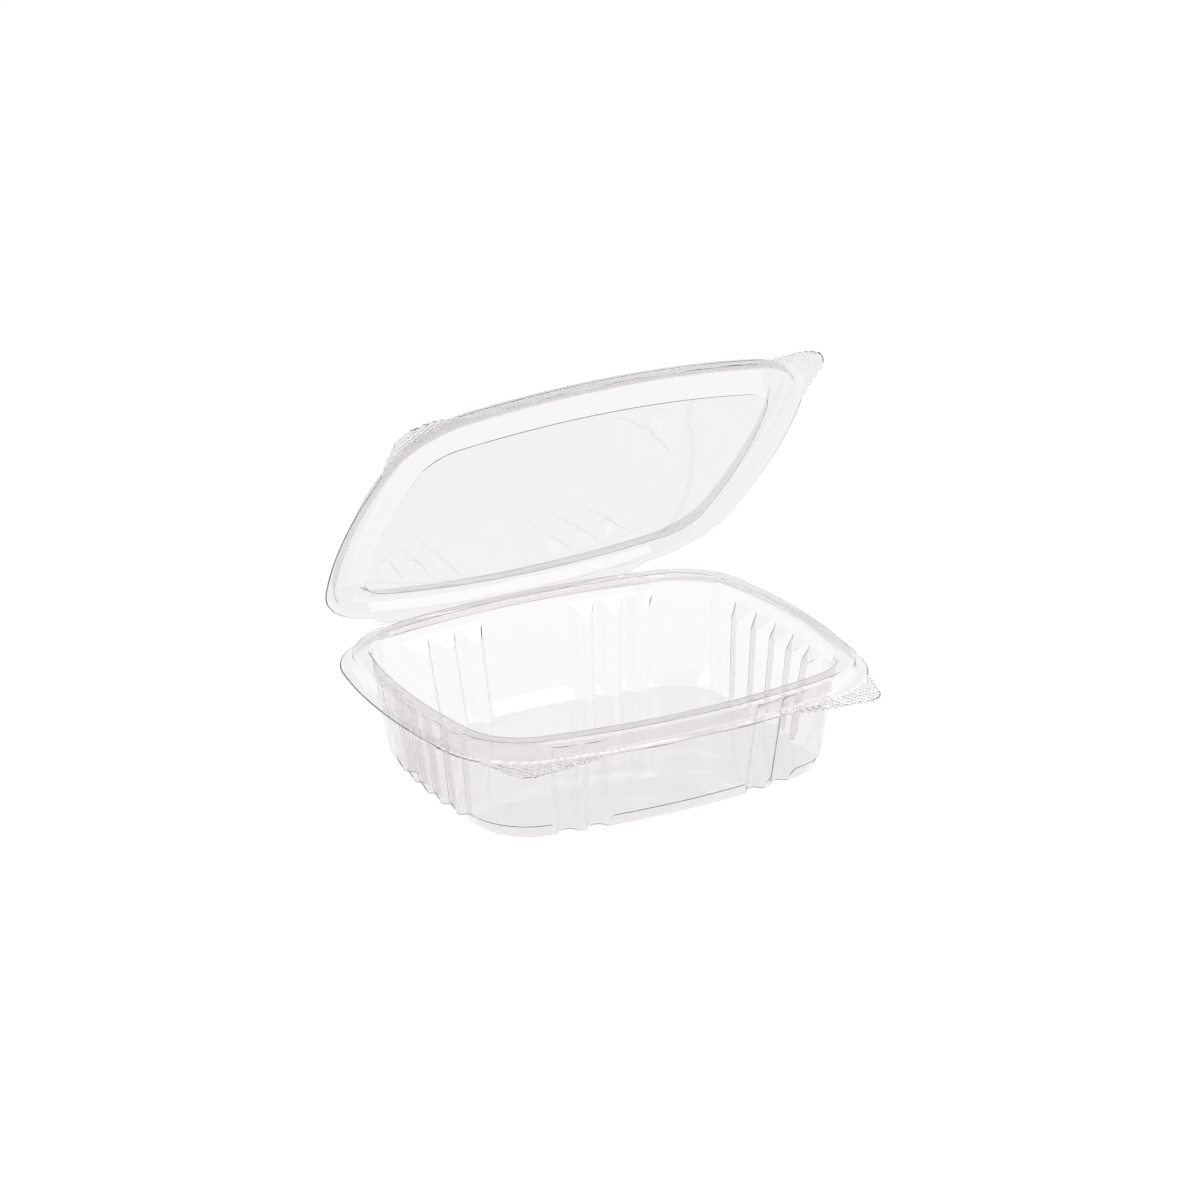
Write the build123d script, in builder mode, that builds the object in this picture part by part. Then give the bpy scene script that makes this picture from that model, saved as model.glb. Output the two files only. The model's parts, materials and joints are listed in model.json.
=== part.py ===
"""Hinged clamshell food pack, thermoformed from one clear sheet.

The tray and the lid are two halves of the same sheet. They meet at a straight living hinge
behind the tray, and the lid is modelled standing part open. The origin is the centre of the
tray's foot, X runs along the hinge, Y towards the hinge, and Z up.

Both halves are the same kind of form: a flat flange, a hollow rim standing on it, and a bowl
inside the rim. Every level of a half is one outline, a rectangle with bowed sides and round
corners. A level is written as its height, its insets from the flange's edge in X and in Y, and
its corner radius.
"""

import os
from math import asin, degrees, hypot, pi, tan

from build123d import *

# Sheet, and the outline of the flange's edge
sheet = 0.4
half_length = 92.0
half_width = 78.5
long_side_radius = 284.0
short_side_radius = 241.0
corner_radius = 35.7

# Flange and rim of the tray: heights from the foot, insets from the flange's edge
flange_top = 38.0
rim_rise = 5.8
rim_foot_inset = 4.3
rim_lean = 0.6
rim_bevel = 1.1
rim_inner_inset = 11.0
wall_inset = 12.4
wall_edge_drop = 1.5

# Tray wall and foot
wall_draft_length = 4.4
wall_draft_width = 5.2
foot_corner_radius = 24.0
foot_bevel_inset = 2.0
foot_bevel_height = 5.5

# Notches that stiffen the wall, pressed in from outside and open at the foot
notch_mouth = 11.2
notch_front = 4.6
notch_depth = 5.0
notch_roof = 4.5
notch_below_flange = 0.5
side_notch_pitch = 13.9
side_notches = 5
long_notch_pitch = 12.4
back_notch_start = 24.8
back_notches = 3
front_notch_start = 36.8
front_notches = 2

# Lid: its rim covers the tray's rim, and its panel lies inside the tray's mouth
lid_clearance = 0.35
flange_gap = 0.3
panel_drop = 0.6
panel_slope_length = 2.8
panel_slope_width = 6.8
panel_corner_radius = 17.0
lid_open_angle = 49.0

# Living hinge, as a straight strip on each half with the crease between them
hinge_half_length = 56.0
hinge_reach = 1.6
hinge_root = 6.0
hinge_crease = 0.4

# Pull tabs at the two front corners: how far the tip before rounding, and the two roots on the
# flange, lie in from the furthest edges of the flange in X and in Y
tray_tab_tip = (15.5, -2.5)
tray_tab_roots = ((58.0, 2.3), (6.0, 32.5))
tray_tab_radius = 8.0
lid_tab_tip = (2.0, 2.0)
lid_tab_roots = ((35.0, 6.1), (3.4, 40.5))
lid_tab_radius = 14.0
tab_core = (32.0, 32.5)

rim_top = flange_top + rim_rise
hinge_y = half_width + hinge_reach
hinge_z = flange_top + flange_gap / 2
mitre = tan(pi / 8)
cut_margin = 1.0


def outline(plane, level):
    """One level of a half: a rectangle with bowed sides and round corners."""
    height, inset_x, inset_y, radius = level
    side_x = half_length - inset_x
    side_y = half_width - inset_y
    long_radius = long_side_radius - inset_y
    short_radius = short_side_radius - inset_x
    long_centre = Vector(0, side_y - long_radius)
    short_centre = Vector(side_x - short_radius, 0)
    span = short_centre - long_centre
    to_long = long_radius - radius
    to_short = short_radius - radius
    along = (to_long**2 - to_short**2 + span.length**2) / (2 * span.length)
    across = (to_long**2 - along**2) ** 0.5
    direction = span.normalized()
    corner = long_centre + direction * along + direction.rotate(Axis.Z, -90) * across
    short_angle = Vector(1, 0).get_signed_angle(corner - short_centre, Vector(0, 0, 1))
    long_angle = Vector(1, 0).get_signed_angle(corner - long_centre, Vector(0, 0, 1))
    with BuildSketch(plane.offset(height)) as level_sketch:
        with BuildLine():
            CenterArc(short_centre, short_radius, 0, short_angle)
            CenterArc(corner, radius, short_angle, long_angle - short_angle)
            CenterArc(long_centre, long_radius, long_angle, 90 - long_angle)
            mirror(about=Plane.XZ)
            mirror(about=Plane.YZ)
        make_face()
    return level_sketch.sketch


def filled(plane, levels):
    """Faces of a stack of levels, ready to loft."""
    return [outline(plane, level) for level in levels]


def even_level(height, inset):
    """A level with the same inset all round, so its corner arc is concentric with the flange's."""
    return (height, inset, inset, corner_radius - inset)


def rim_levels(base, grow):
    """Outer side of the rim from its base up, grown outwards from the tray's outer surface."""
    lean_inset = rim_foot_inset + rim_lean
    return [
        even_level(base, rim_foot_inset - grow),
        even_level(rim_top - rim_bevel + mitre * grow, lean_inset - grow),
        even_level(rim_top + grow, lean_inset + rim_bevel - mitre * grow),
    ]


def mouth_levels(grow):
    """Upper side of the rim's inner edge, from the wall up, grown inwards and upwards."""
    return [
        even_level(rim_top - wall_edge_drop + mitre * grow, wall_inset + grow),
        even_level(rim_top + grow, rim_inner_inset + mitre * grow),
    ]


def tray_levels(grow):
    """Inner surface of the tray from the floor to the rim, grown inwards."""
    inset_x = wall_inset + wall_draft_length + grow
    inset_y = wall_inset + wall_draft_width + grow
    radius = foot_corner_radius - grow
    foot_x = inset_x + foot_bevel_inset
    foot_y = inset_y + foot_bevel_inset
    return [
        (sheet + grow, foot_x, foot_y, radius - foot_bevel_inset),
        (foot_bevel_height, inset_x, inset_y, radius),
    ] + mouth_levels(grow)


def lid_levels(grow):
    """Surface of the lid's bowl from the panel to the rim, grown inwards from the clearance."""
    panel = (
        flange_top - panel_drop + grow,
        wall_inset + panel_slope_length + grow,
        wall_inset + panel_slope_width + grow,
        panel_corner_radius,
    )
    return [panel] + mouth_levels(lid_clearance + grow)


def raised(levels):
    """The same levels with the last one carried on upwards, to cut clear of the rim."""
    height, *rest = levels[-1]
    return levels + [(height + cut_margin, *rest)]


def tab_outline(plane, height, tip, roots, radius):
    """Both pull tabs of one half, as faces that run from the flange's corners outwards."""
    corner_x, corner_y = half_length, -half_width
    long_root, tip_point, short_root, core = [
        (corner_x - inset_x, corner_y + inset_y) for inset_x, inset_y in (roots[0], tip, roots[1], tab_core)
    ]
    with BuildSketch(plane.offset(height)) as tabs:
        with BuildLine():
            edge = FilletPolyline(long_root, tip_point, short_root, radius=radius)
            Polyline(edge @ 1, core, edge @ 0)
        make_face()
        mirror(about=Plane.YZ)
    return tabs.sketch


def hinge_outline(plane, height):
    """Straight strip that carries the flange out to the crease."""
    near = half_width - hinge_root
    far = hinge_y - hinge_crease / 2
    with BuildSketch(plane.offset(height)) as strip:
        with Locations((0, (near + far) / 2)):
            Rectangle(2 * hinge_half_length, far - near)
    return strip.sketch


def notch(side_radius, draft, grow):
    """One notch, its x axis pointing out of the wall from the centre of the side's arc."""
    wall_rise = rim_top - wall_edge_drop - foot_bevel_height
    lean = draft / wall_rise
    bottom = -cut_margin
    wall_x = side_radius - wall_inset - draft + sheet - lean * (foot_bevel_height - bottom)
    spread = (notch_mouth - notch_front) / 2 / notch_depth
    widen = grow * hypot(1, spread)
    margin = 2.0
    front_x = wall_x - notch_depth - grow
    mouth_x = wall_x + margin
    front_half = notch_front / 2 - spread * grow + widen
    mouth_half = notch_mouth / 2 + spread * margin + widen
    front_top = flange_top - notch_below_flange - notch_roof + grow
    roof_x = front_x + lean * (front_top - bottom)
    with BuildPart() as solid:
        with BuildSketch(Plane.XY.offset(bottom)):
            Polygon(
                (front_x, -front_half),
                (mouth_x, -mouth_half),
                (mouth_x, mouth_half),
                (front_x, front_half),
                align=None,
            )
        extrude(amount=rim_top * hypot(1, lean), dir=(lean, 0, 1))
        split(bisect_by=Plane((roof_x, 0, front_top), z_dir=(-notch_roof, 0, notch_depth)), keep=Keep.BOTTOM)
    return solid.part


def arc_places(centre, facing, side_radius, offsets):
    """Places turned about the centre of a side's arc, at the given distances along the wall."""
    wall_radius = side_radius - wall_inset
    turns = [facing - degrees(asin(offset / wall_radius)) for offset in offsets]
    return [Location((centre[0], centre[1], 0), (0, 0, turn)) for turn in turns]


def paired(start, pitch, count):
    """Distances of two mirrored groups, each starting at the given distance from the middle."""
    one_side = [start + pitch * step for step in range(count)]
    return one_side + [-distance for distance in one_side]


side_offsets = [side_notch_pitch * (step - (side_notches - 1) / 2) for step in range(side_notches)]
short_centre_x = half_length - short_side_radius
long_centre_y = half_width - long_side_radius
side_places = arc_places((short_centre_x, 0), 0, short_side_radius, side_offsets)
side_places += arc_places((-short_centre_x, 0), 180, short_side_radius, side_offsets)
back_offsets = paired(back_notch_start, long_notch_pitch, back_notches)
front_offsets = paired(front_notch_start, long_notch_pitch, front_notches)
long_places = arc_places((0, long_centre_y), 90, long_side_radius, back_offsets)
long_places += arc_places((0, -long_centre_y), -90, long_side_radius, front_offsets)


def tray_bowl(grow, levels):
    """A filled tray bowl with its notches taken out."""
    with BuildPart() as bowl:
        loft(filled(Plane.XY, levels), ruled=True)
        with Locations(*side_places):
            add(notch(short_side_radius, wall_draft_length, grow), mode=Mode.SUBTRACT)
        with Locations(*long_places):
            add(notch(long_side_radius, wall_draft_width, grow), mode=Mode.SUBTRACT)
    return bowl.part


# Tray, with its flange, rim, notched wall and floor
flange_base = flange_top - sheet
tray_outside = tray_bowl(0, tray_levels(-sheet))
tray_inside = tray_bowl(sheet, raised(tray_levels(0)))
with BuildPart() as base_tray:
    extrude(outline(Plane.XY, even_level(flange_base, 0)), amount=sheet)
    extrude(hinge_outline(Plane.XY, flange_base), amount=sheet)
    extrude(tab_outline(Plane.XY, flange_base, tray_tab_tip, tray_tab_roots, tray_tab_radius), amount=sheet)
    loft(filled(Plane.XY, rim_levels(flange_base, 0)), ruled=True)
    loft(filled(Plane.XY, rim_levels(flange_base - cut_margin, -sheet)), ruled=True, mode=Mode.SUBTRACT)
    add(tray_outside)
    add(tray_inside, mode=Mode.SUBTRACT)
base_tray.part.label = "base_tray"

# Lid, built on a plane that has been turned open about the hinge line
hinge_line = Location((0, hinge_y, hinge_z))
lid_plane = Plane(hinge_line * Location((0, 0, 0), (-lid_open_angle, 0, 0)) * hinge_line.inverse())
lid_base = flange_top + flange_gap
lid_outside = lid_clearance + sheet
with BuildPart() as lid:
    extrude(outline(lid_plane, even_level(lid_base, 0)), amount=sheet)
    extrude(hinge_outline(lid_plane, lid_base), amount=sheet)
    extrude(tab_outline(lid_plane, lid_base, lid_tab_tip, lid_tab_roots, lid_tab_radius), amount=sheet)
    loft(filled(lid_plane, rim_levels(lid_base, lid_outside)), ruled=True)
    loft(filled(lid_plane, rim_levels(lid_base - cut_margin, lid_clearance)), ruled=True, mode=Mode.SUBTRACT)
    loft(filled(lid_plane, lid_levels(0)), ruled=True)
    loft(filled(lid_plane, raised(lid_levels(sheet))), ruled=True, mode=Mode.SUBTRACT)
lid.part.label = "lid"

os.makedirs("parts", exist_ok=True)
export_step(base_tray.part, "parts/base_tray.step")
export_step(lid.part, "parts/lid.step")
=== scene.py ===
"""A clear hinged food pack: one thermoformed sheet, folded at a living hinge into tray and lid."""

import json
from math import atan2, cos, hypot, pi, radians, sin, sqrt, tan

import bpy
import numpy as np
from mathutils import Matrix, Vector


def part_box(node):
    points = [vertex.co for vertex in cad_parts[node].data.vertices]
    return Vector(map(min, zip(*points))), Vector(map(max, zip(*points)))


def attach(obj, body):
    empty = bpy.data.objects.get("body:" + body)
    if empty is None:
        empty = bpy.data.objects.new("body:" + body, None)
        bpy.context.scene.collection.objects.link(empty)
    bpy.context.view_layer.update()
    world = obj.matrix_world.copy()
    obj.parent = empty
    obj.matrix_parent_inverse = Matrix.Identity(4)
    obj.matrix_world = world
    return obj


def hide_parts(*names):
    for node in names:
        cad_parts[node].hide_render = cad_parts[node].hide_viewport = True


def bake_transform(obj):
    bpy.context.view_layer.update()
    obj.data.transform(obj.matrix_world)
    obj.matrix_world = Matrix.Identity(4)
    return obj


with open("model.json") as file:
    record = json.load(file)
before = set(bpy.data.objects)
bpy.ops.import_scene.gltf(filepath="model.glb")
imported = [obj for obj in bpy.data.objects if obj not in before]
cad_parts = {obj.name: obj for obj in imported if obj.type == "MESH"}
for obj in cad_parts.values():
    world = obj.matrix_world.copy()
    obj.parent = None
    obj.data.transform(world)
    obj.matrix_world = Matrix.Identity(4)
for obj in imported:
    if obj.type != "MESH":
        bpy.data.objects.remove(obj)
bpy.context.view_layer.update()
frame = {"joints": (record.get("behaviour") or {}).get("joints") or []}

# Tray half. Clear PET sheet, heated and drawn over a mould: a flange, a hollow rim, a drafted wall
# with pressed-in notches, a flat foot and two knurled pull tabs, one piece with the lid. It is
# worked out in millimetres as rows of one surface, from the flange's edge in, then made thick.

MM = 0.001
SHEET = 0.4

# Outline, flange and rim
half_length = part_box("base_tray")[1][0] / MM
rim_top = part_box("base_tray")[1][2] / MM
half_width = 78.5
long_side_radius = 284.0
short_side_radius = 241.0
corner_radius = 35.7
rim_rise = 5.8
flange_top = rim_top - rim_rise
rim_foot_inset = 4.3
rim_lean = 0.6
rim_bevel = 1.1
rim_inner_inset = 11.0
flange_border = 1.2
wall_inset = 12.4
wall_edge_drop = 1.5
wall_top = rim_top - wall_edge_drop

# Wall and foot
draft_length = 4.4
draft_width = 5.2
foot_corner_radius = 24.0
foot_bevel_inset = 2.0
foot_bevel_height = 5.5
foot_line_share = 0.06
foot_line_depth = 0.25
foot_line_radius = 0.45
notch_foot_radius = 1.4
least_bevel_rise = 1.6
floor_border = 3.0

# Notches, by their places along the wall
notch_mouth = 11.6
notch_front = 5.0
notch_depth = 5.0
notch_rise = 4.5
notch_top = flange_top - 0.1
notch_roof_ease = 0.4
notch_blend = 0.42
side_notches = [13.9 * step for step in (-2, -1, 0, 1, 2)]
back_notches = [24.8, 37.2, 49.6]
front_notches = [36.8, 49.2]

# Hinge strip and knurled tabs
hinge_half_length = 56.0
hinge_taper = 4.0
hinge_y = half_width + 1.6
crease_width = 0.4
knurl_pitch_x = 2.7
knurl_pitch_y = 5.2
knurl_height = 0.5
knurl_border = 0.9
knurl_fade = 1.6
least_reach = 0.12
furthest_reach = 25.0
TAB_ROWS = 17

# Distances between columns
FINE = 0.4
MIDDLE = 0.7
COARSE = 2.4


def outline_arcs(level):
    """Centre, radius, first angle and last angle of the three arcs in a quarter of one level."""
    _, inset_x, inset_y, radius = level
    side_x = half_length - inset_x
    side_y = half_width - inset_y
    long_radius = long_side_radius - inset_y
    short_radius = short_side_radius - inset_x
    long_centre = np.array([0.0, side_y - long_radius])
    short_centre = np.array([side_x - short_radius, 0.0])
    span = short_centre - long_centre
    reach = hypot(*span)
    along = ((long_radius - radius) ** 2 - (short_radius - radius) ** 2 + reach**2) / (2 * reach)
    across = sqrt((long_radius - radius) ** 2 - along**2)
    right, up = span / reach
    corner = long_centre + along * np.array([right, up]) + across * np.array([up, -right])
    short_angle = atan2(corner[1] - short_centre[1], corner[0] - short_centre[0])
    long_angle = atan2(corner[1] - long_centre[1], corner[0] - long_centre[0])
    return [
        (short_centre, short_radius, 0.0, short_angle),
        (corner, radius, short_angle, long_angle),
        (long_centre, long_radius, long_angle, pi / 2),
    ]


def even_level(height, inset):
    """A level with the same inset all round."""
    return (height, inset, inset, corner_radius - inset)


def run_stops(length, spacing):
    """Shares of a run at which columns stand, spaced as the function of distance says."""
    stops = [0.0]
    while stops[-1] < length - 0.3 * spacing(length):
        stops.append(stops[-1] + spacing(stops[-1]))
    return np.array(stops) / stops[-1]


def sheet_columns(short_spacing, corner_spacing, long_spacing):
    """Columns once round a half: the signs of the quarter, the arc, and the share along it."""
    arcs = outline_arcs(even_level(0, wall_inset))
    runs = [radius * abs(last - first) for _, radius, first, last in arcs]
    fan_out = 1.5
    columns = []
    for sign_x, sign_y in ((1, 1), (-1, 1), (-1, -1), (1, -1)):
        short = run_stops(runs[0], short_spacing[sign_y])
        corner = run_stops(runs[1] * fan_out, corner_spacing[sign_y])
        long = 1 - run_stops(runs[2], long_spacing[sign_y])[::-1]
        quarter = [(sign_x, sign_y, 0, share) for share in short[:-1]]
        quarter += [(sign_x, sign_y, 1, share) for share in corner[:-1]]
        quarter += [(sign_x, sign_y, 2, share) for share in long]
        if sign_x * sign_y < 0:
            quarter = quarter[::-1]
        columns += quarter[:-1]
    return np.array(columns)


def level_points(columns, level):
    """The points of one level at the columns, and the outward directions there."""
    arcs = outline_arcs(level)
    which = columns[:, 2].astype(int)
    centre = np.array([arc[0] for arc in arcs])[which]
    radius = np.array([arc[1] for arc in arcs])[which]
    first = np.array([arc[2] for arc in arcs])[which]
    last = np.array([arc[3] for arc in arcs])[which]
    angle = first + (last - first) * columns[:, 3]
    outward = np.stack([np.cos(angle), np.sin(angle)], 1)
    points = (centre + outward * radius[:, None]) * columns[:, :2]
    outward = outward * columns[:, :2]
    heights = np.full(len(columns), float(level[0]))
    return np.column_stack([points, heights]), np.column_stack([outward, 0 * heights])


def wall_distances(columns):
    """Signed distances along the wall from the middle of the short side and of the long side."""
    arcs = outline_arcs(even_level(0, wall_inset))
    which = columns[:, 2].astype(int)
    angle = np.array([arc[2] for arc in arcs])[which]
    angle = angle + (np.array([arc[3] for arc in arcs])[which] - angle) * columns[:, 3]
    _, corner_turn, corner_first, corner_last = arcs[1]
    short_run = arcs[0][1] * corner_first
    long_run = arcs[2][1] * (pi / 2 - corner_last)
    past_short = short_run + corner_turn * (angle - corner_first)
    past_long = long_run + corner_turn * (corner_last - angle)
    short = np.where(which == 0, arcs[0][1] * angle, past_short)
    long = np.where(which == 2, arcs[2][1] * (pi / 2 - angle), past_long)
    return short * columns[:, 1], long


def coarse_columns(columns):
    """Which columns the rows inside the flange keep: all, but one in three at the front corners."""
    kept = []
    run = 0
    for _, sign_y, arc, _ in columns:
        dense = sign_y < 0 and arc == 1
        run = run + 1 if dense else 0
        kept.append(not dense or run % 3 == 1)
    return kept


def soft_clip(value, blend):
    """A ramp held between 0 and 1, eased at both ends."""

    def lower(a, b):
        mix = np.clip(0.5 + 0.5 * (b - a) / blend, 0, 1)
        return b + (a - b) * mix - blend * mix * (1 - mix)

    return lower(-lower(-value, 0.0), 1.0)


def notch_nearness(columns):
    """How near each column is to a notch: -1 clear of it, 0 at its mouth, 1 or more at its front."""
    along_short, along_long = wall_distances(columns)
    flank = (notch_mouth - notch_front) / 2
    at_back = columns[:, 1] > 0
    share = np.full(len(columns), -1.0)
    for place in side_notches:
        share = np.maximum(share, (notch_mouth / 2 - np.abs(along_short - place)) / flank)
    for places, mask in ((back_notches, at_back), (front_notches, ~at_back)):
        for place in places:
            nearness = (notch_mouth / 2 - np.abs(along_long - place)) / flank
            share = np.where(mask, np.maximum(share, nearness), share)
    return share


def rounded_rows(corners, radii, steps):
    """Rows of a profile, with each of its inner corners rounded."""
    rows = [corners[0]]
    for index, radius in enumerate(radii, 1):
        point = corners[index]
        back = corners[index - 1] - point
        ahead = corners[index + 1] - point
        back_length = np.linalg.norm(back, axis=1)
        ahead_length = np.linalg.norm(ahead, axis=1)
        back = back / back_length[:, None]
        ahead = ahead / ahead_length[:, None]
        half_angle = np.arccos(np.clip((back * ahead).sum(1), -1, 1)) / 2
        most = 0.45 * np.minimum(back_length, ahead_length)
        reach = np.maximum(np.minimum(radius / np.tan(half_angle), most), 0.05)[:, None]
        for step in range(steps + 1):
            t = step / steps
            start = point + back * reach
            end = point + ahead * reach
            rows.append((1 - t) ** 2 * start + 2 * t * (1 - t) * point + t**2 * end)
    return rows + [corners[-1]]


def ray_reach(points, directions, outline):
    """How far each point lies from an outline in its own direction, or 0 where it misses."""
    reach = np.zeros(len(points))
    starts = outline[:-1]
    runs = outline[1:] - starts
    for index, (point, direction) in enumerate(zip(points, directions)):
        gap = starts - point
        cross = direction[0] * runs[:, 1] - direction[1] * runs[:, 0]
        cross = np.where(np.abs(cross) < 1e-9, 1e-9, cross)
        far = (gap[:, 0] * runs[:, 1] - gap[:, 1] * runs[:, 0]) / cross
        along = (gap[:, 0] * direction[1] - gap[:, 1] * direction[0]) / cross
        hits = far[(along >= 0) & (along <= 1) & (far > 0) & (far < furthest_reach)]
        if len(hits):
            reach[index] = hits.min()
    return reach


def tab_edge(tip, roots, radius):
    """The edge of the right-hand pull tab as a polyline with a round tip."""
    corner = np.array([half_length, -half_width])
    long_root, point, short_root = [
        corner + np.array([-inset_x, inset_y]) for inset_x, inset_y in (roots[0], tip, roots[1])
    ]
    back = (long_root - point) / np.linalg.norm(long_root - point)
    ahead = (short_root - point) / np.linalg.norm(short_root - point)
    half_angle = np.arccos(back @ ahead) / 2
    setback = radius / np.tan(half_angle)
    middle = (back + ahead) / np.linalg.norm(back + ahead)
    centre = point + middle * radius / np.sin(half_angle)
    start = point + back * setback - centre
    first = atan2(start[1], start[0])
    end = point + ahead * setback - centre
    sweep = (atan2(end[1], end[0]) - first + pi) % (2 * pi) - pi
    angles = first + sweep * np.linspace(0, 1, 33)
    arc = [centre + radius * np.array([np.cos(angle), np.sin(angle)]) for angle in angles]
    return np.array([long_root] + arc + [short_root])


def new_piece(name, mesh):
    """An object for a mesh, linked into the scene."""
    piece = bpy.data.objects.new(name, mesh)
    bpy.context.collection.objects.link(piece)
    return piece


def sheet_mesh(name, columns, rows, tab, knurl_side, drawn_rows=()):
    """One half as a closed solid: its rows, the tabs and hinge strip past them, and a second face."""
    fine_rows = 3
    coarse = coarse_columns(columns)
    edge = rows[0]
    count = len(columns)
    outward = level_points(columns, even_level(0, 0))[1][:, :2]
    right_side = np.column_stack([np.abs(edge[:, 0]), edge[:, 1]])
    right_facing = np.column_stack([np.abs(outward[:, 0]), outward[:, 1]])
    reach = ray_reach(right_side, right_facing, tab)
    reach[columns[:, 1] > 0] = 0
    direction = np.column_stack([outward, np.zeros(count)])
    to_hinge_end = hinge_half_length + hinge_taper - np.abs(edge[:, 0])
    over_hinge = (columns[:, 1] > 0) & (to_hinge_end >= 0)
    ends = soft_clip(to_hinge_end / (2 * hinge_taper), 0.5)
    reach = np.where(over_hinge, (hinge_y - crease_width / 2 - edge[:, 1]) * ends, reach)
    direction[over_hinge] = [0, 1, 0]
    reach[reach < least_reach] = 0

    points = [np.array(point) for row in rows[:fine_rows] for point in row]
    index = [list(range(count * step, count * (step + 1))) for step in range(fine_rows)]
    kept = [column for column in range(count) if coarse[column]]
    for row in rows[fine_rows:]:
        first = len(points)
        points += [np.array(row[column]) for column in kept]
        index.append(list(range(first, first + len(kept))))
    outer = [index[0]]
    for step in range(1, TAB_ROWS + 1):
        ring = []
        for column in range(count):
            if reach[column] == 0:
                ring.append(index[0][column])
            else:
                ring.append(len(points))
                points.append(edge[column] + direction[column] * reach[column] * step / TAB_ROWS)
        outer.append(ring)

    faces = []
    face_rows = []

    def join(inner, outside, row):
        for column in range(len(inner)):
            following = (column + 1) % len(inner)
            corners = [inner[column], outside[column], outside[following], inner[following]]
            corners = [c for place, c in enumerate(corners) if c != corners[place - 1]]
            if len(set(corners)) >= 3:
                faces.append(corners)
                face_rows.append(row)

    for inner, outside in zip(outer, outer[1:]):
        join(inner, outside, 0)
    for outside, inner in zip(index[:fine_rows], index[1:fine_rows]):
        join(inner, outside, 0)
    last_fine = index[fine_rows - 1]
    first_coarse = index[fine_rows]
    for place in range(len(kept)):
        start = kept[place]
        stop = kept[(place + 1) % len(kept)]
        stop = stop if stop > start else stop + count
        between = [last_fine[column % count] for column in range(start, stop + 1)]
        faces.append([first_coarse[place]] + between + [first_coarse[(place + 1) % len(kept)]])
        face_rows.append(0)
    for row in range(fine_rows, len(index) - 1):
        join(index[row + 1], index[row], row)
    faces.append(index[-1])
    face_rows.append(len(index))

    points = np.array(points)
    depth = knurled(points)
    wave = np.cos(2 * pi * points[:, 0] / knurl_pitch_x)
    wave = wave * np.cos(2 * pi * points[:, 1] / knurl_pitch_y)
    points[:, 2] += knurl_height * depth * (wave + knurl_side)

    draft = bpy.data.meshes.new(name + "_draft")
    draft.from_pydata([tuple(p) for p in points], [], faces)
    draft.update()
    normals = np.empty(3 * len(points))
    draft.vertex_normals.foreach_get("vector", normals)
    normals = normals.reshape(-1, 3)
    faces_up = normals[index[0]].mean(axis=0)[2] > 0
    normals *= 1 if faces_up else -1
    bpy.data.meshes.remove(draft)

    size = len(points)
    under = points - normals * SHEET
    outside_faces = faces if faces_up else [face[::-1] for face in faces]
    edges = {}
    for face in outside_faces:
        edges.update(dict.fromkeys(zip(face, face[1:] + face[:1])))
    rim = [(a, b) for a, b in edges if (b, a) not in edges]
    solid = outside_faces + [[corner + size for corner in face[::-1]] for face in outside_faces]
    solid += [[b, a, a + size, b + size] for a, b in rim]
    mesh = bpy.data.meshes.new(name)
    mesh.from_pydata([tuple(p) for p in np.vstack([points, under]) * MM], [], solid)
    finishes = [2 if row in drawn_rows else 0 for row in face_rows]
    smooth = [True] * (2 * len(faces)) + [False] * len(rim)
    mesh.polygons.foreach_set("use_smooth", smooth)
    # Slot 1, the cut edge faces all round, takes a grey tint that is painted shade: the dark line
    # along the sheet's edges.
    mesh.polygons.foreach_set("material_index", finishes + finishes + [1] * len(rim))
    mesh.update()
    return new_piece(name, mesh)


def knurled(points):
    """Where the sheet is knurled: on the pull tabs, out from the flange's own edge."""
    x = np.abs(points[:, 0])
    y = points[:, 1]
    _, (centre, radius, _, _), (long_centre, long_radius, _, _) = outline_arcs(even_level(0, 0))
    beyond_corner = np.hypot(x - centre[0], -y - centre[1]) - radius
    beyond_long = np.hypot(x, -y - long_centre[1]) - long_radius
    past_long = atan2(*(centre - long_centre)[::-1]) < np.arctan2(-y - long_centre[1], x)
    beyond = np.where(past_long, beyond_long, beyond_corner)
    at_tab = (y < 0) & (-y >= centre[1])
    return np.clip(soft_clip((beyond + knurl_border) / knurl_fade, 0.3), 0, 1) * at_tab


def beside_notches(places, plain):
    """Column spacing that is fine on the flanks of the notches at the given places."""

    def spacing(distance):
        nearest = min(abs(distance - place) for place in places)
        if notch_front / 2 - 0.9 < nearest < notch_mouth / 2 + 0.5:
            return FINE
        return MIDDLE if nearest < notch_mouth / 2 + 3 else plain

    return spacing


short_spacing = beside_notches([abs(place) for place in side_notches], 1.4)
tray_columns = sheet_columns(
    {1: short_spacing, -1: short_spacing},
    {1: lambda distance: 1.6, -1: lambda distance: FINE},
    {1: beside_notches(back_notches, COARSE), -1: beside_notches(front_notches, COARSE)},
)
tray_nearness = notch_nearness(tray_columns)
tray_share = np.clip(soft_clip(tray_nearness, notch_blend), 0, 1)
wall_high = level_points(tray_columns, even_level(wall_top, wall_inset))
wall_low = level_points(
    tray_columns,
    (foot_bevel_height, wall_inset + draft_length, wall_inset + draft_width, foot_corner_radius),
)
inward = -wall_low[1]


def wall_at(height, depth):
    """Points of the tray's wall at a height, pushed inwards by a depth."""
    height = np.broadcast_to(height, len(tray_columns))
    fall = ((wall_top - height) / (wall_top - foot_bevel_height))[:, None]
    points = wall_high[0] * (1 - fall) + wall_low[0] * fall
    return points + inward * np.broadcast_to(depth, len(tray_columns))[:, None]


def ring(columns, height, inset):
    """Points of a level with the same inset all round."""
    return level_points(columns, even_level(height, inset))[0]


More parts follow.
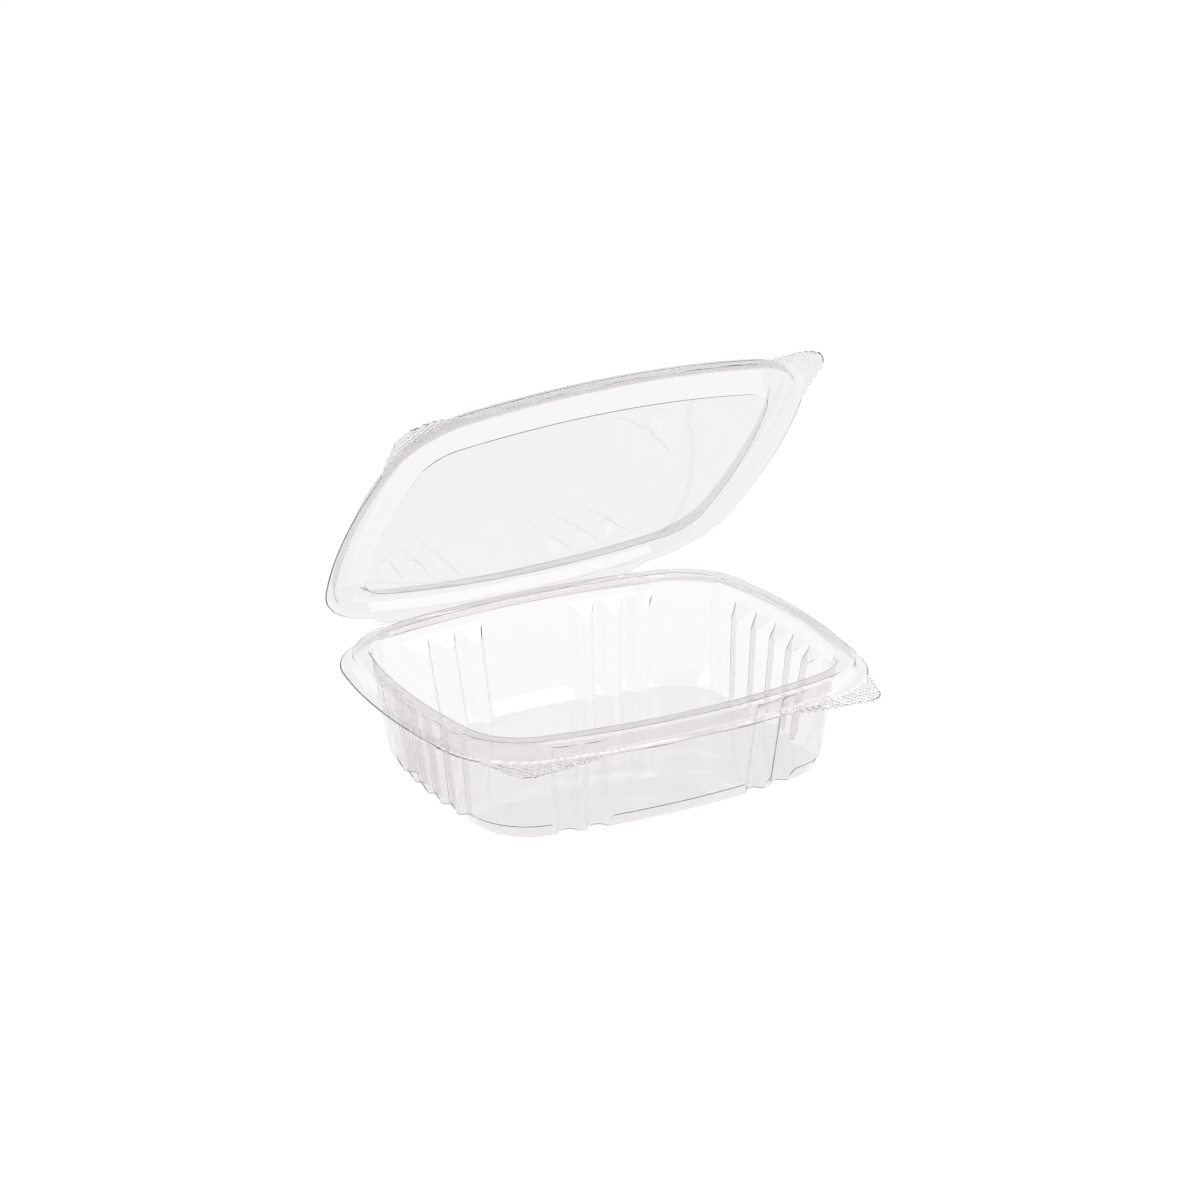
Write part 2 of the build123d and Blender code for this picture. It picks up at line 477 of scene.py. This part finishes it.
push = notch_depth * tray_share
floor_depth = np.maximum(foot_bevel_inset, push)
bevel_slope = (foot_bevel_height - SHEET) / foot_bevel_inset
bevel_high = np.maximum(foot_bevel_height - push * bevel_slope, SHEET + least_bevel_rise)
clear_of_notch = np.clip(-tray_nearness, 0, 1)
plain_wall = clear_of_notch**2 * (3 - 2 * clear_of_notch)
down = foot_line_share + (0.5 - foot_line_share) * np.clip(tray_nearness, 0, 1)[:, None]
foot_line = wall_at(bevel_high, push) * (1 - down) + wall_at(SHEET, floor_depth) * down
foot_line = foot_line + inward * (foot_line_depth * plain_wall)[:, None]
foot_radius = notch_foot_radius + (foot_line_radius - notch_foot_radius) * plain_wall
roof_ease = notch_roof_ease * (1 - tray_share)
tray_corners = [
    ring(tray_columns, flange_top, 0),
    ring(tray_columns, flange_top, flange_border),
    ring(tray_columns, flange_top, rim_foot_inset),
    ring(tray_columns, rim_top - rim_bevel, rim_foot_inset + rim_lean),
    ring(tray_columns, rim_top, rim_foot_inset + rim_lean + rim_bevel),
    ring(tray_columns, rim_top, rim_inner_inset),
    ring(tray_columns, wall_top, wall_inset),
    wall_at(notch_top + roof_ease, 0),
    wall_at(notch_top - notch_rise * tray_share - roof_ease, push),
    wall_at(bevel_high, push),
    foot_line,
    wall_at(SHEET, floor_depth),
    wall_at(SHEET, floor_depth + floor_border),
]
tray_bends = [0.9, 0.8, 0.8, 0.9, 1.0, 0.9, 1.8, foot_radius, foot_radius, 1.2]
tray_rows = [tray_corners[0], ring(tray_columns, flange_top, flange_border / 2)]
tray_rows += rounded_rows(tray_corners[1:], tray_bends, 4)
tray_tab = tab_edge((17.2, -2.3), ((58.0, 2.3), (6.6, 31.0)), 7.0)
tray = sheet_mesh("tray_sheet", tray_columns, tray_rows, tray_tab, -1)


class Socket:
    """A shader socket that takes part in Python expressions, which add Math nodes."""

    def __init__(self, tree, socket):
        self.tree = tree
        self.socket = socket

    def math(self, operation, *values):
        settings = {"operation": operation}
        return add_node(self.tree, "ShaderNodeMath", settings, dict(enumerate(values)))

    def __add__(self, other):
        return self.math("ADD", self, other)

    def __radd__(self, other):
        return self.math("ADD", other, self)

    def __sub__(self, other):
        return self.math("SUBTRACT", self, other)

    def __rsub__(self, other):
        return self.math("SUBTRACT", other, self)

    def __mul__(self, other):
        return self.math("MULTIPLY", self, other)

    def __rmul__(self, other):
        return self.math("MULTIPLY", other, self)


def add_node(tree, kind, settings=None, inputs=None, output=0):
    """Adds a node, sets it up, sets or links its inputs, and returns one output as a Socket."""
    node = tree.nodes.new(kind)
    for name, value in (settings or {}).items():
        if name == "stops":
            ramp = node.color_ramp
            while len(ramp.elements) < len(value):
                ramp.elements.new(1.0)
            for element, (position, colour) in zip(ramp.elements, value):
                element.position = position
                element.color = colour
        else:
            setattr(node, name, value)
    for name, value in (inputs or {}).items():
        if isinstance(value, Socket):
            tree.links.new(value.socket, node.inputs[name])
        else:
            node.inputs[name].default_value = value
    return Socket(tree, node.outputs[output])


def new_material(name):
    """An empty node material and its output node."""
    material = bpy.data.materials.new(name)
    material.use_nodes = True
    tree = material.node_tree
    tree.nodes.clear()
    return material, tree, tree.nodes.new("ShaderNodeOutputMaterial")


def clear_plastic(name, low_colour, high_colour, roughness, wave_strength, clearness=1.0):
    """Clear PET that bends and mirrors light, tinted from one colour below to another above."""
    material, tree, output = new_material(name)
    place = add_node(tree, "ShaderNodeTexCoord", output="Object")
    waves = add_node(
        tree,
        "ShaderNodeTexNoise",
        inputs={"Vector": place, "Scale": 38.0, "Detail": 2.0, "Roughness": 0.5},
    )
    haze = add_node(
        tree,
        "ShaderNodeTexNoise",
        inputs={"Vector": place, "Scale": 120.0, "Detail": 4.0, "Roughness": 0.6},
    )
    bump = add_node(
        tree,
        "ShaderNodeBump",
        inputs={"Strength": wave_strength, "Distance": 0.001, "Height": waves},
    )
    height = add_node(tree, "ShaderNodeSeparateXYZ", inputs={0: place}, output="Z")
    # Tint by height: on the tray the upper wall, rim and flange come out lighter, which is painted
    # light against the darkening of stacked layers.
    height_share = add_node(
        tree,
        "ShaderNodeMapRange",
        inputs={"Value": height + waves * 0.004, "From Min": 0.02, "From Max": 0.042},
    )
    colour = add_node(
        tree,
        "ShaderNodeMix",
        {"data_type": "RGBA"},
        {0: height_share, 6: low_colour, 7: high_colour},
        output=2,
    )
    low, high = roughness
    plastic = add_node(
        tree,
        "ShaderNodeBsdfPrincipled",
        inputs={
            "Base Color": colour,
            "Roughness": low + haze * (high - low),
            "IOR": 1.48,
            "Transmission Weight": clearness,
            "Normal": bump,
        },
    )
    gap = add_node(tree, "ShaderNodeBsdfTransparent", inputs={"Color": (0.95, 0.95, 0.95, 1)})
    lamps = add_node(tree, "ShaderNodeLightPath", output="Is Shadow Ray")
    mix = add_node(tree, "ShaderNodeMixShader", inputs={0: lamps, 1: plastic, 2: gap})
    tree.links.new(mix.socket, output.inputs["Surface"])
    return material


# The tray's tints are lighter than the lid's for the same sheet, and lighter towards the flange and
# rim: painted light that offsets the darkening these get through several layers of plastic.
drawn_tray_sheet_painted_light = (0.915, 0.904, 0.909, 1)
flange_sheet_painted_light = (0.92, 0.909, 0.914, 1)
# The cut edges are rough and clouded, and their darker grey tint is painted shade: it draws the dark
# line that light trapped inside the sheet shows along its edges.
cut_edge_painted_shade_tint = (0.8, 0.79, 0.795, 1)
tray_plastic_painted_light = clear_plastic("clear_pet_tray_painted_light", drawn_tray_sheet_painted_light, flange_sheet_painted_light, (0.0, 0.05), 0.12)
cut_edge_painted_shade_plastic = clear_plastic("cut_pet_edge_painted_shade", cut_edge_painted_shade_tint, cut_edge_painted_shade_tint, (0.3, 0.5), 0.3, 0.2)
for finish in (tray_plastic_painted_light, cut_edge_painted_shade_plastic):
    tray.data.materials.append(finish)
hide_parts("base_tray")
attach(tray, "tray_half")

# Lid half. The same clear sheet, drawn as a shallow cover: its rim snaps over the tray's rim and
# its panel lies inside the tray's mouth, level with the flange. It is worked out closed on the
# tray, and then turned back open about the hinge by the angle that it can still close.

lid_clearance = 0.35
grow = lid_clearance + SHEET
flange_gap = 0.3
lid_flange_top = flange_top + flange_gap + SHEET
mitre = tan(pi / 8)
panel_drop = 0.6
panel_height = flange_top - panel_drop + SHEET
panel_inset_x = wall_inset + 2.8 + SHEET
panel_inset_y = wall_inset + 6.8 + SHEET
panel_radius = 17.0
panel_border = 4.0
panel_bow = 0.7
lid_columns = sheet_columns(
    {-1: lambda distance: 1.8, 1: lambda distance: 1.8},
    {-1: lambda distance: FINE, 1: lambda distance: 1.5},
    {-1: lambda distance: COARSE if distance < 48 else 0.5, 1: lambda distance: COARSE},
)
panel_level = (panel_height, panel_inset_x, panel_inset_y, panel_radius)
panel_edge, panel_out = level_points(lid_columns, panel_level)
lid_corners = [
    ring(lid_columns, lid_flange_top, flange_border),
    ring(lid_columns, lid_flange_top, rim_foot_inset - grow),
    ring(lid_columns, rim_top - rim_bevel + mitre * grow, rim_foot_inset + rim_lean - grow),
    ring(lid_columns, rim_top + grow, rim_foot_inset + rim_lean + rim_bevel - mitre * grow),
    ring(lid_columns, rim_top + grow, rim_inner_inset + mitre * grow),
    ring(lid_columns, wall_top + mitre * grow, wall_inset + grow),
    panel_edge,
    panel_edge - panel_out * panel_border,
]
lid_rows = [ring(lid_columns, lid_flange_top, 0)]
lid_rows.append(ring(lid_columns, lid_flange_top, flange_border / 2))
lid_rows += rounded_rows(lid_corners, [0.9, 0.9, 0.9, 1.2, 1.4, 0.35], 5)
shaped_rows = len(lid_rows)
panel_ring = lid_rows[-1]
for share in (0.9, 0.75, 0.6, 0.45, 0.3, 0.15, 0.05):
    lid_rows.append(panel_ring * [share, share, 1] + [0, 0, panel_bow * (1 - share**2)])
slope_rows = range(shaped_rows - 14, shaped_rows - 5)
lid_tab = tab_edge((2.0, 2.0), ((35.0, 6.1), (3.4, 40.5)), 14.0)
lid = sheet_mesh("lid_sheet", lid_columns, lid_rows, lid_tab, 1, slope_rows)
joint = next(joint for joint in frame["joints"] if joint["name"] == "lid_hinge")
lid_turn = radians(joint["range_deg"][0])
hinge_point = Vector(joint["pos_m"])
opening = Matrix.Translation(hinge_point) @ Matrix.Rotation(lid_turn, 4, "X")
lid.data.transform(opening @ Matrix.Translation(-hinge_point))
# The lid is tinted darker than the tray's same sheet. This is painted shade, so that its single layer
# shows as grey as the tray's stacked ones. Its drawn slope is tinted a little lighter than the rest
# of it.
lid_sheet_painted_shade = (0.85, 0.837, 0.843, 1)
drawn_lid_sheet_painted_shade = (0.885, 0.873, 0.879, 1)
lid_plastic_painted_shade = clear_plastic("clear_pet_lid_painted_shade", lid_sheet_painted_shade, lid_sheet_painted_shade, (0.0, 0.05), 0.12)
slope_plastic_painted_shade = clear_plastic(
    "clear_pet_slope_painted_shade", drawn_lid_sheet_painted_shade, drawn_lid_sheet_painted_shade, (0.0, 0.05), 0.12
)
for finish in (lid_plastic_painted_shade, cut_edge_painted_shade_plastic, slope_plastic_painted_shade):
    lid.data.materials.append(finish)
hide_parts("lid")
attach(lid, "lid_half")

# Living hinge. The crease where the sheet folds, pressed thinner than the rest of it. It bends
# round the hinge line while its two borders stay on the tray's flange and the lid's.

crease_half_gauge = SHEET * 0.3
crease_lap = 0.15
crease_pull = 0.55
crease_steps = 12
crease_stations = 25
crease_half_length = hinge_half_length - 2.0
border_depth = (flange_gap + SHEET) / 2
tray_along = Vector((1, 0))
tray_border = Vector((-crease_width / 2, -border_depth))
lid_along = Vector((cos(lid_turn), sin(lid_turn)))
lid_up = Vector((-sin(lid_turn), cos(lid_turn)))
lid_border = lid_up * border_depth - lid_along * crease_width / 2
fold = [
    tray_border - tray_along * crease_lap,
    tray_border + tray_along * crease_pull,
    lid_border + lid_along * crease_pull,
    lid_border - lid_along * crease_lap,
]
fold_line = []
for step in range(crease_steps + 1):
    t = step / crease_steps
    weights = ((1 - t) ** 3, 3 * t * (1 - t) ** 2, 3 * t**2 * (1 - t), t**3)
    weighted = [point * weight for point, weight in zip(fold, weights)]
    fold_line.append(sum(weighted, Vector((0, 0))))
section = []
for side in (1, -1):
    for step in range(crease_steps + 1)[::side]:
        run = fold_line[min(step + 1, crease_steps)] - fold_line[max(step - 1, 0)]
        across = Vector((-run.y, run.x)).normalized()
        section.append(fold_line[step] + side * crease_half_gauge * across)
points = []
for x in np.linspace(-crease_half_length, crease_half_length, crease_stations):
    points += [hinge_point + Vector((x, place.x, place.y)) * MM for place in section]
ring_size = len(section)
faces = []
for station in range(crease_stations - 1):
    for corner in range(ring_size):
        following = (corner + 1) % ring_size
        first = station * ring_size
        second = first + ring_size
        faces.append((first + corner, first + following, second + following, second + corner))
faces.append(tuple(range(ring_size))[::-1])
faces.append(tuple(range(len(points) - ring_size, len(points))))
crease_mesh = bpy.data.meshes.new("hinge_crease")
crease_mesh.from_pydata(points, [], faces)
# The crease takes the lid's darker tint, which is painted shade.
crease_mesh.materials.append(lid_plastic_painted_shade)
crease = new_piece("hinge_crease", crease_mesh)
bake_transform(crease)

# Floor. A wide pale surface. What the camera, mirrors and clear plastic see of it is mostly its
# plain white, so that only a faint shadow of the pack is left on it.

floor_mesh = bpy.data.meshes.new("floor")
floor_reach = 12.0
floor_drop = 0.0003
corners = [(x * floor_reach, y * floor_reach, 0) for x, y in ((-1, -1), (1, -1), (1, 1), (-1, 1))]
floor_mesh.from_pydata(corners, [], [(0, 1, 2, 3)])
floor = new_piece("floor", floor_mesh)
floor.location.z = -floor_drop
floor_paint, tree, output = new_material("floor_paint")
camera_ray = add_node(tree, "ShaderNodeLightPath", output="Is Camera Ray")
glossy_ray = add_node(tree, "ShaderNodeLightPath", output="Is Glossy Ray")
bent_ray = add_node(tree, "ShaderNodeLightPath", output="Is Transmission Ray")
seen = camera_ray + glossy_ray * 0.3 + bent_ray
matt = add_node(tree, "ShaderNodeBsdfDiffuse", inputs={"Color": (0.86, 0.86, 0.86, 1)})
white = add_node(tree, "ShaderNodeEmission", inputs={"Color": (1, 1, 1, 1), "Strength": 1.06})
paint = add_node(tree, "ShaderNodeMixShader", inputs={0: seen * 0.8, 1: matt, 2: white})
tree.links.new(paint.socket, output.inputs["Surface"])
floor_mesh.materials.append(floor_paint)

# Light. A pale room, darker towards the ceiling so that the clear sheet's bends show, a large soft
# panel in front of the pack and above it, a low wide one behind it and a small one at its side.

world = bpy.data.worlds.new("studio")
bpy.context.scene.world = world
world.use_nodes = True
tree = world.node_tree
tree.nodes.clear()
direction = add_node(tree, "ShaderNodeTexCoord", output="Generated")
height = add_node(tree, "ShaderNodeSeparateXYZ", inputs={0: direction}, output="Z")
ceiling = add_node(
    tree,
    "ShaderNodeValToRGB",
    {
        "stops": [
            (0.0, (1, 1, 1, 1)),
            (0.2, (0.94, 0.94, 0.94, 1)),
            (0.42, (0.66, 0.66, 0.66, 1)),
            (1.0, (0.55, 0.55, 0.55, 1)),
        ]
    },
    {0: height},
)
room = add_node(tree, "ShaderNodeBackground", inputs={"Color": ceiling, "Strength": 0.95})
blank = add_node(tree, "ShaderNodeBackground", inputs={"Color": (1, 1, 1, 1), "Strength": 1.0})
camera_ray = add_node(tree, "ShaderNodeLightPath", output="Is Camera Ray")
sky = add_node(tree, "ShaderNodeMixShader", inputs={0: camera_ray, 1: room, 2: blank})
tree.links.new(sky.socket, tree.nodes.new("ShaderNodeOutputWorld").inputs["Surface"])


def soft_panel(name, place, target, width, length, power):
    """A large soft lamp that faces a point."""
    lamp = bpy.data.lights.new(name, "AREA")
    lamp.shape = "RECTANGLE"
    lamp.size = width
    lamp.size_y = length
    lamp.energy = power
    holder = bpy.data.objects.new(name, lamp)
    bpy.context.collection.objects.link(holder)
    holder.location = place
    aim = Vector(target) - Vector(place)
    holder.rotation_euler = aim.to_track_quat("-Z", "Y").to_euler()


pack_middle = (0, 0.02, 0.03)
soft_panel("front_panel", (1.25, -1.4, 1.75), pack_middle, 2.5, 2.4, 36.0)
soft_panel("back_panel", (0.75, 1.7, 1.55), pack_middle, 1.5, 0.45, 7.5)
soft_panel("side_panel", (-1.3, 0.1, 0.8), pack_middle, 0.5, 0.8, 3.5)

# Camera, a long lens a little above the table, in front of the pack and to its left.

lens = bpy.data.cameras.new("camera")
lens.lens = 140.13
lens.sensor_width = 36.0
lens.clip_end = 60.0
camera = bpy.data.objects.new("camera", lens)
bpy.context.collection.objects.link(camera)
facing = Matrix(
    ((0.88145, 0.18596, -0.43413), (-0.47189, 0.30933, -0.82561), (-0.01925, 0.93260, 0.36041))
)
camera.matrix_world = Matrix.Translation((-0.7627, -1.4492, 0.6974)) @ facing.to_4x4()
bpy.context.scene.camera = camera
bpy.context.scene.view_settings.view_transform = "Standard"
bpy.context.scene.cycles.max_bounces = 28
bpy.context.scene.cycles.transmission_bounces = 28
bpy.context.scene.cycles.glossy_bounces = 12
